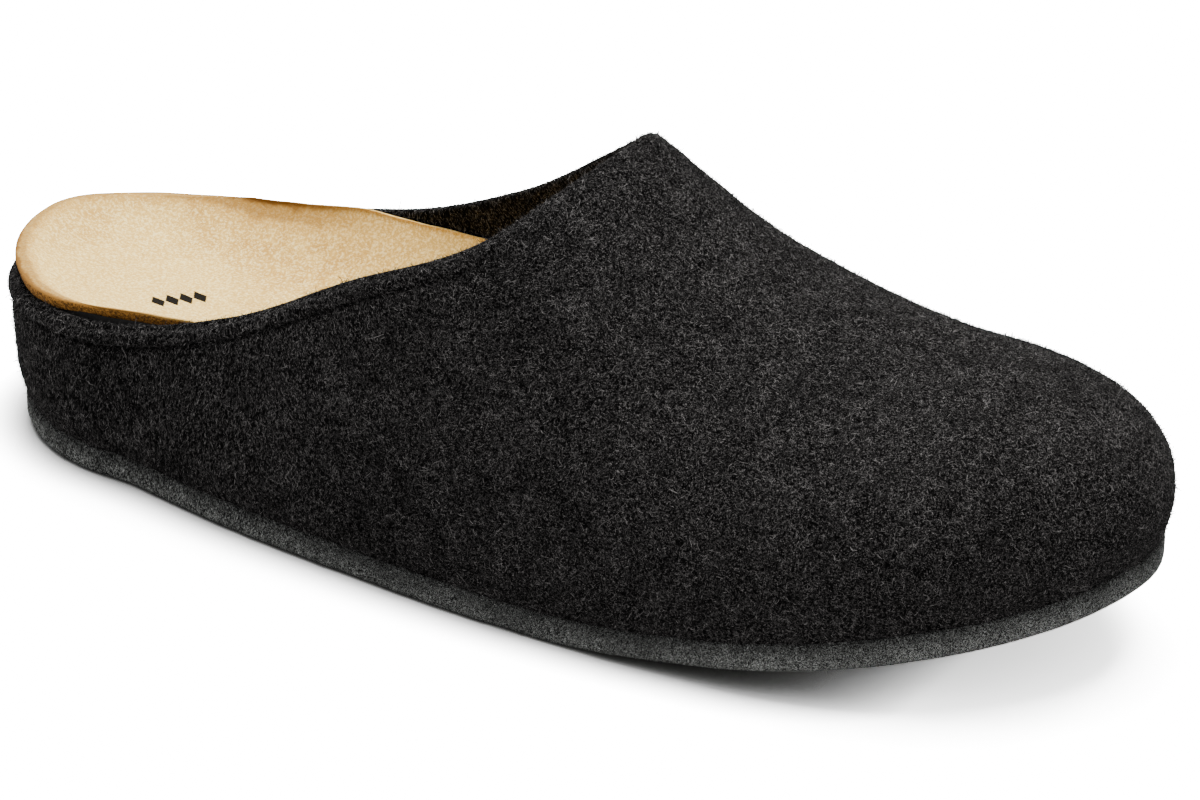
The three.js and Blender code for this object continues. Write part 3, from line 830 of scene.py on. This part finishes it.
def suede_material(colours):
    """Pale suede with worn brown patches, a burnished edge and a row of small printed diamonds."""
    material, graph, shader, place = new_material("suede")
    cloud = graph.cloud(place, 40.0, 240.0, 0.2)
    grain = graph.noise(place, 1500.0, 3.0, 0.75)
    nap = graph.noise(place, 2800.0, 2.0, 0.6)
    mark = colours.suede_mark
    tone = graph.mix(graph.times(cloud, 0.16), colours.suede, mark)
    tone = graph.mix(stains(graph, place), tone, mark)
    tone = graph.mix(graph.remap(grain, 0.4, 0.6, 0.0, 0.5), tone, mark)
    tone = graph.mix(graph.remap(grain, 0.52, 0.36, 0.0, 0.6), tone, (1.0, 0.84, 0.42))
    specks = graph.remap(graph.noise(place, 420.0, 3.0, 0.8), 0.62, 0.78, 0.0, 0.5)
    tone = graph.mix(specks, tone, mark)
    border = graph.plus(graph.mark("rim"), graph.times(graph.minus(cloud, 0.5), 0.0016))
    heel = graph.remap(graph.split(place)[0], -0.06, -0.1, 0.05, 1.0)
    worn = graph.times(heel, graph.remap(border, 0.0056, 0.003, 0.0, 0.5))
    tone = graph.mix(worn, tone, mark)
    band = graph.plus(
        graph.remap(border, 0.0034, 0.0024, 0.0, 0.5), graph.remap(border, 0.0014, 0.0004, 0.0, 0.45)
    )
    tone = graph.mix(graph.times(heel, band), tone, colours.burnish)
    grains = graph.remap(graph.noise(place, 1900.0, 2.0, 0.8), 0.38, 0.66)
    edge = graph.mix(grains, scaled(colours.burnish, 0.3), scaled(colours.burnish, 1.9))
    tone = graph.mix(graph.mark("side"), tone, edge)
    tone = graph.mix(diamonds(graph, place), tone, colours.ink)
    inputs = {
        "Base Color": tone,
        "Roughness": graph.remap(nap, 0.2, 0.8, 0.82, 0.97),
        "Sheen Weight": 0.02,
        "Sheen Roughness": 0.6,
        "Specular IOR Level": 0.06,
    }
    graph.finish_shader(shader, inputs, (0.45, 0.0003, graph.plus(nap, graph.times(grain, 1.2))))
    return material


def turned_place(graph, place, middle, turn, size=(1, 1, 1)):
    """Places seen from the middle of a patch, turned with it and measured in its size."""
    given = {"Vector": place, "Location": middle, "Rotation": (0, 0, turn), "Scale": size}
    return graph.add("ShaderNodeMapping", given, vector_type="TEXTURE").outputs[0]


def stains(graph, place):
    """Mask of the worn patches, with broken edges."""
    given = {"Vector": place, "Scale": 75.0, "Detail": 4.0, "Roughness": 0.65}
    swirl = graph.add("ShaderNodeTexNoise", given).outputs["Color"]
    offset = graph.vector("MULTIPLY", graph.vector("SUBTRACT", swirl, (0.5, 0.5, 0.5)), (0.02, 0.02, 0))
    bent = graph.vector("ADD", place, offset)
    total = 0.0
    for spot in STAINS:
        seen = turned_place(graph, bent, spot["place"], spot["turn"], spot["size"])
        flat = graph.vector("MULTIPLY", seen, (1, 1, 0))
        far = graph.add("ShaderNodeVectorMath", {0: flat}, operation="LENGTH").outputs["Value"]
        total = graph.math("MAXIMUM", total, graph.remap(far, 1.3, 0.2, 0.0, spot["depth"]))
    broken = graph.remap(graph.noise(place, 260.0, 4.0, 0.7), 0.32, 0.66, 0.35, 1.0)
    return graph.times(total, broken)


def diamonds(graph, place):
    """Mask of a short row of plain diamonds."""
    seen = graph.split(turned_place(graph, place, DIAMOND_PLACE, DIAMOND_TURN))
    run = graph.math("DIVIDE", seen[0], DIAMOND_PITCH)
    inside = graph.math("LESS_THAN", graph.math("ABSOLUTE", run), DIAMOND_COUNT / 2)
    cell = graph.minus(graph.math("FRACT", graph.plus(run, 50.0)), 0.5)
    across = graph.math("ABSOLUTE", graph.times(cell, DIAMOND_PITCH / DIAMOND_HALF_LENGTH))
    up = graph.math("ABSOLUTE", graph.math("DIVIDE", seen[1], DIAMOND_HALF_WIDTH))
    rough = graph.times(graph.minus(graph.noise(place, 3000.0, 1.0), 0.5), 0.35)
    size = graph.plus(graph.plus(across, up), rough)
    return graph.times(inside, graph.remap(size, 1.1, 0.95))


def cork_material(colours):
    """Bound cork grains, with painted shade on the upright sides, which are near black."""
    material, graph, shader, place = new_material("cork")
    cells = graph.add("ShaderNodeTexVoronoi", {"Vector": place, "Scale": 420.0}).outputs["Distance"]
    grain = graph.remap(graph.noise(place, 700.0, 2.0, 0.7), 0.55, 0.7)
    shade = graph.mix(graph.times(cells, 0.9), colours.cork, colours.cork_grain)
    # painted shade: the upright sides turn near black
    facing = graph.split(graph.add("ShaderNodeNewGeometry").outputs["Normal"])[2]
    side = graph.remap(graph.math("ABSOLUTE", facing), 0.75, 0.5)
    tone = graph.mix(side, graph.mix(grain, shade, colours.cork_grain), (0.0035, 0.003, 0.0025))
    inputs = {"Base Color": tone, "Roughness": 0.9}
    graph.finish_shader(shader, inputs, (0.5, 0.0004, graph.minus(cells, grain)))
    return material


# Pieces

def upper_grid(last):
    """Grid of the whole upper: its foot, outer face, hem, rounded top and inner face."""
    sizes = last.sizes
    hem_zone = sizes.hem_width + HEM_MARGIN
    near = np.arange(HEM_RINGS + 1) / HEM_RINGS * hem_zone

    def distances(whole):
        parts = (np.arange(1, FACE_RINGS + 1) / FACE_RINGS) ** 1.15
        far = column(whole) - column(whole - hem_zone) * parts
        return np.concatenate([far, np.broadcast_to(near[::-1][1:], (len(whole), HEM_RINGS))], 1)

    face = last.face(shares_from_collar(last, distances))
    grid = np.concatenate([last.tuck(spread(last, np.linspace(0, 1, TUCK_RINGS))), face], 1)
    normals = face_normals(grid, last.out)
    below = np.full(grid.shape[:2], 1.0)
    below[:, -len(near):] = near[::-1]
    lift = hem_lift(last, below) + soft_relief(grid, below, np.array(sizes.origin))
    outer = grid + normals * lift[..., None]
    up = grid[:, -1] - grid[:, -2]
    up /= np.linalg.norm(up, axis=1, keepdims=True)
    step = lift[:, -1]
    half = (step + sizes.felt_wall) / 2
    rise = sizes.hem_crown * (1 + TIP_CROWN * column(last.throat_share) ** 2)
    crown = []
    for turn in np.linspace(0, math.pi, CROWN_RINGS + 2)[1:-1]:
        out = step - half + half * math.cos(turn)
        crown.append(grid[:, -1] + normals[:, -1] * column(out) + up * rise * math.sin(turn))
    coarse = np.r_[0:TUCK_RINGS:3, TUCK_RINGS : grid.shape[1] : 2][::-1]
    wall = sizes.felt_wall - swells(grid[:, coarse], "lining")
    inner = grid[:, coarse] - normals[:, coarse] * wall[..., None]
    whole = np.concatenate([outer, np.stack(crown, 1), inner], 1)
    # mask of painted shade in the stitched groove under the hem, fading towards the throat
    groove = np.zeros(whole.shape[:2])
    groove[:, : below.shape[1]] = groove_share(sizes, below) * column(last.hem_share)
    return whole, groove


def hem_lift(last, below):
    """How far the hem stands proud at a distance below the collar line, with the stitched groove under it."""
    sizes = last.sizes
    on_hem = 1 / (1 + np.exp((below - sizes.hem_width) / HEM_EDGE))
    swell = HEM_SWELL * np.sin(np.clip(below / sizes.hem_width, 0, 1) * math.pi)
    near_top = np.clip(1 - below / sizes.hem_shoulder, 0, 1)
    shoulder = sizes.hem_shoulder * (1 - np.sqrt(1 - near_top**2))
    proud = sizes.hem_step * on_hem + swell - sizes.hem_groove * groove_share(sizes, below)
    lift = column(last.hem_share) * proud
    tip = column(last.throat_share) ** 3
    rounding = np.minimum(shoulder, SHOULDER_DEPTH) * (1 - TIP_SHOULDER * tip)
    return lift - rounding + TIP_RISE * tip * np.exp(-below / TIP_REACH)


def groove_share(sizes, below):
    """How far a distance below the collar line is into the stitched groove, 0 to 1."""
    return np.exp(-(((below - sizes.hem_width - GROOVE_DROP) / GROOVE_WIDTH) ** 2))


def soft_relief(grid, below, origin):
    """Slow swells, small lumps and the main creases of hand-shaped felt, calmer on the hem."""
    calm = np.clip(below / 0.012, 0.35, 1)
    relief = swells(grid, "upper")
    for crease in CREASES:
        start, end = (np.array(crease[name]) - origin for name in ("start", "end"))
        run = end - start
        share = np.clip((grid - start) @ run / (run @ run), 0, 1)
        away = np.linalg.norm(grid - start - share[..., None] * run, axis=-1)
        relief += crease["height"] * np.exp(-((away / crease["width"]) ** 2))
    return calm * relief


class SLIPPER_OT_upper(bpy.types.Operator):
    """Make the hollow felt upper with its turned hem"""

    bl_idname = "slipper.upper"
    bl_label = "Felt upper"

    def execute(self, context):
        colours = context.scene.slipper_colours
        last = Last(context.scene.slipper_sizes)
        grid, groove = upper_grid(last)
        item = grid_object("felt_upper", last, grid, {"groove": groove}, meet=True)
        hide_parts("upper")
        material = felt_material("charcoal_felt", colours.felt, colours.felt_fibre, scale=2300.0, amount=0.5)
        dress(item, material)
        return {"FINISHED"}


class SLIPPER_OT_outsole(bpy.types.Operator):
    """Make the thick felt sole with its rounded edges"""

    bl_idname = "slipper.outsole"
    bl_label = "Felt sole"

    def execute(self, context):
        colours = context.scene.slipper_colours
        last = Last(context.scene.slipper_sizes)
        grid, shaded = outsole_grid(last)
        item = grid_object("felt_sole", last, grid, {"groove": shaded})
        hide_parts("outsole")
        material = felt_material("grey_felt", colours.sole, colours.sole_fibre, scale=3000.0, amount=0.6)
        dress(item, material)
        return {"FINISHED"}


def outsole_grid(last):
    """Grid of the sole from the ridge line of its tread, round its edge and back over its top."""
    sizes = last.sizes
    turns = np.linspace(0, math.pi / 2, EDGE_RINGS + 1)
    rings = [last.sole(share, sizes.tread_rounding, 0) for share in np.linspace(0, 1, TREAD_RINGS)]
    for turn in turns[1:]:
        inset = sizes.tread_rounding * (1 - math.sin(turn))
        rings.append(last.sole(1, inset, sizes.tread_rounding * (1 - math.cos(turn))))
    for turn in turns[::-1][:-1]:
        inset = sizes.top_rounding * (1 - math.sin(turn))
        rings.append(last.sole(1, inset, sizes.sole_thickness - sizes.top_rounding * (1 - math.cos(turn))))
    for share in np.linspace(1, 0, SOLE_TOP_RINGS):
        rings.append(last.sole(share, sizes.top_rounding, sizes.sole_thickness))
    grid = np.stack(rings, 1)
    side = np.zeros(grid.shape[1])
    side[TREAD_RINGS : TREAD_RINGS + 2 * EDGE_RINGS] = 1
    grid[..., :2] += last.out[:, None] * (side * swells(grid, "sole"))[..., None]
    # painted shade on the top rounding and top of the sole, where the upper overhangs it
    shaded = np.zeros(grid.shape[:2])
    shaded[:, TREAD_RINGS + EDGE_RINGS :] = 0.7
    return grid, shaded


class SLIPPER_OT_cover(bpy.types.Operator):
    """Make the suede insole, whose edge lies over the collar round the heel"""

    bl_idname = "slipper.cover"
    bl_label = "Suede insole"

    def execute(self, context):
        last = Last(context.scene.slipper_sizes)
        grid, rim, side = cover_grid(last)
        item = grid_object("suede_insole", last, grid, {"rim": rim, "side": side})
        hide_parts("insole_cover")
        dress(item, suede_material(context.scene.slipper_colours))
        return {"FINISHED"}


def cover_grid(last):
    """Grid of the insole from the ridge line below, round its edge and back to the ridge line above."""
    shares = 1 - (1 - np.linspace(0, 1, BED_RINGS)) ** 1.5
    reach = along(OVERHANG, "reach", last.edge[:, 0] / last.length, True)
    lower = last.bed(spread(last, shares[::3]), JOINT_GAP)
    upper = last.bed(spread(last, shares), JOINT_GAP + last.sizes.cover_thickness)
    rim_low, rim_top = lower[:, -1], upper[:, -1]
    out = np.concatenate([last.out, np.zeros((len(reach), 1))], 1)
    down = np.array([0, 0, -1.0]) * column(np.clip(reach / OVERHANG[0]["reach"], 0, 1))
    edge = []
    for turn in np.linspace(0, math.pi / 2, EDGE_RINGS):
        place = rim_low + out * column(reach - LOW_RADIUS * (1 - math.sin(turn)))
        edge.append(place + np.array([0, 0, LOW_RADIUS * (1 - math.cos(turn))]) + down * LIP_DROP)
    for turn in np.linspace(math.pi / 2, 0, EDGE_RINGS):
        place = rim_top + out * column(reach - EDGE_RADIUS * (1 - math.sin(turn)))
        edge.append(place - np.array([0, 0, EDGE_RADIUS * (1 - math.cos(turn))]) + down * EDGE_SAG)
    for part in (0.75, 0.5, 0.25):
        edge.append(rim_top + out * column((reach - EDGE_RADIUS) * part) + down * EDGE_SAG * part)
    grid = np.concatenate([lower, np.stack(edge, 1), upper[:, ::-1]], 1)
    rim = np.linalg.norm(grid[..., :2] - (rim_top[:, :2] + last.out * column(reach))[:, None], axis=2)
    first = lower.shape[1]
    side = np.zeros(grid.shape[:2])
    side[:, : first + EDGE_RINGS + 2] = 1
    grid[:, first:, 2] += swells(grid, "cover")[:, first:]
    return grid, rim, side


class SLIPPER_OT_footbed(bpy.types.Operator):
    """Give the cork footbed its material"""

    bl_idname = "slipper.footbed"
    bl_label = "Cork footbed"

    def execute(self, context):
        node = frame["nodes"]["footbed"]
        material = cork_material(context.scene.slipper_colours)
        for slot in node.material_slots:
            slot.material = material
        return {"FINISHED"}


def triples(items, name, kind):
    """A value of three parts from each vertex or triangle of a mesh."""
    values = np.empty(len(items) * 3, kind)
    items.foreach_get(name, values)
    return values.reshape(-1, 3)


def surface_places(mesh, count, random, keep):
    """Random places on the faces of a mesh, as often as keep() says, with the normal there."""
    mesh.calc_loop_triangles()
    corners = triples(mesh.loop_triangles, "vertices", np.int32)
    triangle = triples(mesh.vertices, "co", np.float32).astype(float)[corners]
    bend = triples(mesh.vertices, "normal", np.float32).astype(float)[corners]
    area = np.linalg.norm(np.cross(triangle[:, 1] - triangle[:, 0], triangle[:, 2] - triangle[:, 0]), axis=1)
    area *= keep(triangle.mean(1), bend.mean(1))
    pick = random.choice(len(area), count, p=area / area.sum())
    a, b = random.random((2, count))
    a, b = np.where(a + b > 1, 1 - a, a), np.where(a + b > 1, 1 - b, b)
    weights = np.stack([1 - a - b, a, b], 1)[..., None]
    place, normal = (triangle[pick] * weights).sum(1), (bend[pick] * weights).sum(1)
    return place, normal / np.linalg.norm(normal, axis=1, keepdims=True)


def strands(name, place, normal, random, size, width, rise, upright, shade):
    """Joined mesh of short curved ribbons that start on a surface and lie nearly flat on it."""
    count = len(place)
    way = random.normal(size=(count, 3))
    way[:, 2] += upright * np.sign(way[:, 2]) * 1.6
    ahead = way - normal * (way * normal).sum(1, keepdims=True)
    ahead /= np.linalg.norm(ahead, axis=1, keepdims=True)
    side = np.cross(normal, ahead)
    stray = random.random(count) < STRAY_SHARE
    long = column(size * random.lognormal(0, 0.4, count) * np.where(stray & (rise < 1), STRAY_LENGTH, 1))
    lift = column(random.beta(1.2, 3.2, count) * rise)
    curl = column(random.normal(0, 0.75, count))
    points = []
    for part in (0.0, 0.5, 1.0):
        forward = long * (part - 0.15 * part**2)
        sideways = long * curl * part**2 * 0.6
        height = long * lift * (part - 0.4 * part**2) * 1.6 - ROOT_DEPTH * (part == 0)
        points.append(place + ahead * forward + side * sideways + normal * height)
    roll = column(random.uniform(-0.7, 0.7, count))
    flat = side * np.cos(roll) + normal * np.sin(roll)
    half = flat * (column(width * random.uniform(0.6, 1.3, count)) / 2)
    root, middle, tip = points
    ribbon = [root - half, root + half, middle - half, middle + half, tip]
    vertices = np.stack(ribbon, 1).reshape(-1, 3)
    vertices[:, 2] = np.maximum(vertices[:, 2], LOWEST_FIBRE)
    starts = len(ribbon) * np.arange(count)
    faces = (np.array([(0, 1, 3), (0, 3, 2), (2, 3, 4)]) + starts[:, None, None]).reshape(-1, 3)
    mesh = bpy.data.meshes.new(name)
    mesh.vertices.add(len(vertices))
    mesh.vertices.foreach_set("co", vertices.astype(np.float32).ravel())
    mesh.loops.add(faces.size)
    mesh.loops.foreach_set("vertex_index", faces.astype(np.int32).ravel())
    mesh.polygons.add(len(faces))
    mesh.polygons.foreach_set("loop_start", (3 * np.arange(len(faces))).astype(np.int32))
    mesh.polygons.foreach_set("loop_total", np.full(len(faces), 3, np.int32))
    mesh.update(calc_edges=True)
    mark_points(mesh, "shade", np.repeat(shade, len(ribbon)))
    return make_object(name, mesh)


def outside_of_upper(places, normals):
    """How thickly fibres lie on the upper: in soft patches outside, and thinly inside."""
    away = (places - np.array([0.0, 0.0, 0.03])) * np.array([0.3, 1.0, 1.0])
    patchy = np.clip(1 + 0.35 * waves(places, PATCH_SIZE, 22), 0.3, 2)
    return np.where((away * normals).sum(1) > 0, patchy, 0.12)


def outside_of_sole(places, normals):
    """How thickly fibres lie on the sole: evenly, with few under the tread."""
    return np.where(normals[:, 2] > -0.6, 1.0, 0.02)


class SLIPPER_OT_fibres(bpy.types.Operator):
    """Lay loose wool fibres over the felt"""

    bl_idname = "slipper.fibres"
    bl_label = "Wool fibres"

    def execute(self, context):
        sizes, colours = context.scene.slipper_sizes, context.scene.slipper_colours
        pale, sole_pale = scaled(colours.felt_fibre, 1.9), scaled(colours.sole_fibre, 1.3)
        charcoal = strand_material("charcoal_fibres", tuple(colours.felt), pale)
        grey = strand_material("grey_fibres", tuple(colours.sole), sole_pale)
        kinds = {
            "felt_upper": (outside_of_upper, charcoal, "charcoal_felt"),
            "felt_sole": (outside_of_sole, grey, "grey_felt"),
        }
        for batch in FIBRES:
            keep, material, slot = kinds[batch["source"]]
            random = np.random.default_rng(batch["seed"])
            mesh, count = bpy.data.objects[batch["source"]].data, batch["count"]
            place, normal = surface_places(mesh, count, random, keep)
            bright = random.random(count) < BRIGHT_SHARE + 0.12 * waves(place, PATCH_SIZE, 21)
            shade = np.where(bright, random.beta(1.6, 1.6, count), 0.35 * random.beta(1.0, 3.0, count))
            upright = np.clip((-0.02 - place[:, 0]) / 0.06, 0, 1)
            size, width = sizes.fibre_length * batch["length"], sizes.fibre_width
            if batch["rise"] > 1:
                shade, width = shade * FUZZ_SHADE, width * FUZZ_WIDTH
            item = strands(batch["name"], place, normal, random, size, width, batch["rise"], upright, shade)
            dress(item, material)
        return {"FINISHED"}


class SLIPPER_OT_stage(bpy.types.Operator):
    """Make the floor, the soft lights and the camera"""

    bl_idname = "slipper.stage"
    bl_label = "Studio"

    def execute(self, context):
        studio = context.scene.slipper_studio
        make_floor(studio)
        make_lights(context, studio)
        make_camera(context, studio)
        return {"FINISHED"}


def make_floor(studio):
    """Floor that is grey to the slipper and near white to the camera, with a painted contact shadow where the
    slipper touches it.
    """
    mesh = bpy.data.meshes.new("floor")
    corners = [(x * FLOOR_REACH, y * FLOOR_REACH, 0) for x, y in ((-1, -1), (1, -1), (1, 1), (-1, 1))]
    mesh.from_pydata(corners, [], [(0, 1, 2, 3)])
    item = make_object("floor", mesh)
    material = bpy.data.materials.new("floor")
    material.use_nodes = True
    graph = Graph(material.node_tree)
    graph.tree.nodes.remove(graph.tree.nodes["Principled BSDF"])
    seen = graph.add("ShaderNodeLightPath").outputs["Is Camera Ray"]
    # painted contact shadow: darker where ambient occlusion finds the slipper close by
    near = graph.add("ShaderNodeAmbientOcclusion", {"Distance": 0.012}, samples=12).outputs["AO"]
    bright = scaled(studio.floor, studio.floor_boost)
    shaded = graph.mix(graph.math("POWER", near, 3.0), FLOOR_SHADE, bright)
    shader = graph.add("ShaderNodeBsdfDiffuse", {"Color": graph.mix(seen, studio.floor, shaded)})
    graph.feed(graph.tree.nodes["Material Output"].inputs["Surface"], shader.outputs[0])
    mesh.materials.append(material)


def make_lights(context, studio):
    world = bpy.data.worlds.new("studio")
    world.use_nodes = True
    background = world.node_tree.nodes["Background"].inputs
    background[0].default_value = (1, 1, 1, 1)
    background[1].default_value = studio.sky
    context.scene.world = world
    for lamp in LIGHTS:
        light = bpy.data.lights.new(lamp["name"], "AREA")
        light.energy = getattr(studio, lamp["name"])
        light.size = lamp["size"]
        item = make_object(lamp["name"], light)
        item.location = lamp["place"]
        item.rotation_euler = (-Vector(lamp["place"])).to_track_quat("-Z", "Y").to_euler()


def make_camera(context, studio):
    camera = bpy.data.cameras.new("camera")
    camera.lens = studio.lens
    camera.sensor_width = 36
    camera.shift_x, camera.shift_y = CAMERA_SHIFT
    turn, rise, roll = (math.radians(value) for value in (studio.azimuth, studio.elevation, studio.roll))
    back = Vector((math.sin(turn) * math.cos(rise), -math.cos(turn) * math.cos(rise), math.sin(rise)))
    right = Vector((math.cos(turn), math.sin(turn), 0))
    up = back.cross(right)
    right, up = right * math.cos(roll) + up * math.sin(roll), up * math.cos(roll) - right * math.sin(roll)
    place = Matrix.Translation(Vector(CAMERA_TARGET) + back * studio.distance)
    item = make_object("camera", camera)
    item.matrix_world = place @ Matrix((right, up, back)).transposed().to_4x4()
    context.scene.camera = item


class SLIPPER_PT_panel(bpy.types.Panel):
    """Sidebar panel of the slipper"""

    bl_idname = "SLIPPER_PT_panel"
    bl_label = "Felt slipper"
    bl_space_type = "VIEW_3D"
    bl_region_type = "UI"
    bl_category = "Slipper"

    def draw(self, context):
        scene = context.scene
        for group in (scene.slipper_sizes, scene.slipper_colours, scene.slipper_studio):
            box = self.layout.box()
            for key in group.__annotations__:
                box.prop(group, key)
        for operator in OPERATORS:
            self.layout.operator(operator.bl_idname)


OPERATORS = (
    SLIPPER_OT_upper,
    SLIPPER_OT_outsole,
    SLIPPER_OT_footbed,
    SLIPPER_OT_cover,
    SLIPPER_OT_fibres,
    SLIPPER_OT_stage,
)
CLASSES = (SlipperSizes, SlipperColours, StudioSettings, *OPERATORS, SLIPPER_PT_panel)


def register():
    for item in CLASSES:
        bpy.utils.register_class(item)
    bpy.types.Scene.slipper_sizes = PointerProperty(type=SlipperSizes)
    bpy.types.Scene.slipper_colours = PointerProperty(type=SlipperColours)
    bpy.types.Scene.slipper_studio = PointerProperty(type=StudioSettings)


def unregister():
    del bpy.types.Scene.slipper_sizes
    del bpy.types.Scene.slipper_colours
    del bpy.types.Scene.slipper_studio
    for item in reversed(CLASSES):
        bpy.utils.unregister_class(item)


def main():
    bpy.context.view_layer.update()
    register()
    bpy.ops.slipper.upper()
    bpy.ops.slipper.outsole()
    bpy.ops.slipper.footbed()
    bpy.ops.slipper.cover()
    bpy.ops.slipper.fibres()
    bpy.ops.slipper.stage()


if __name__ == "__main__":
    main()
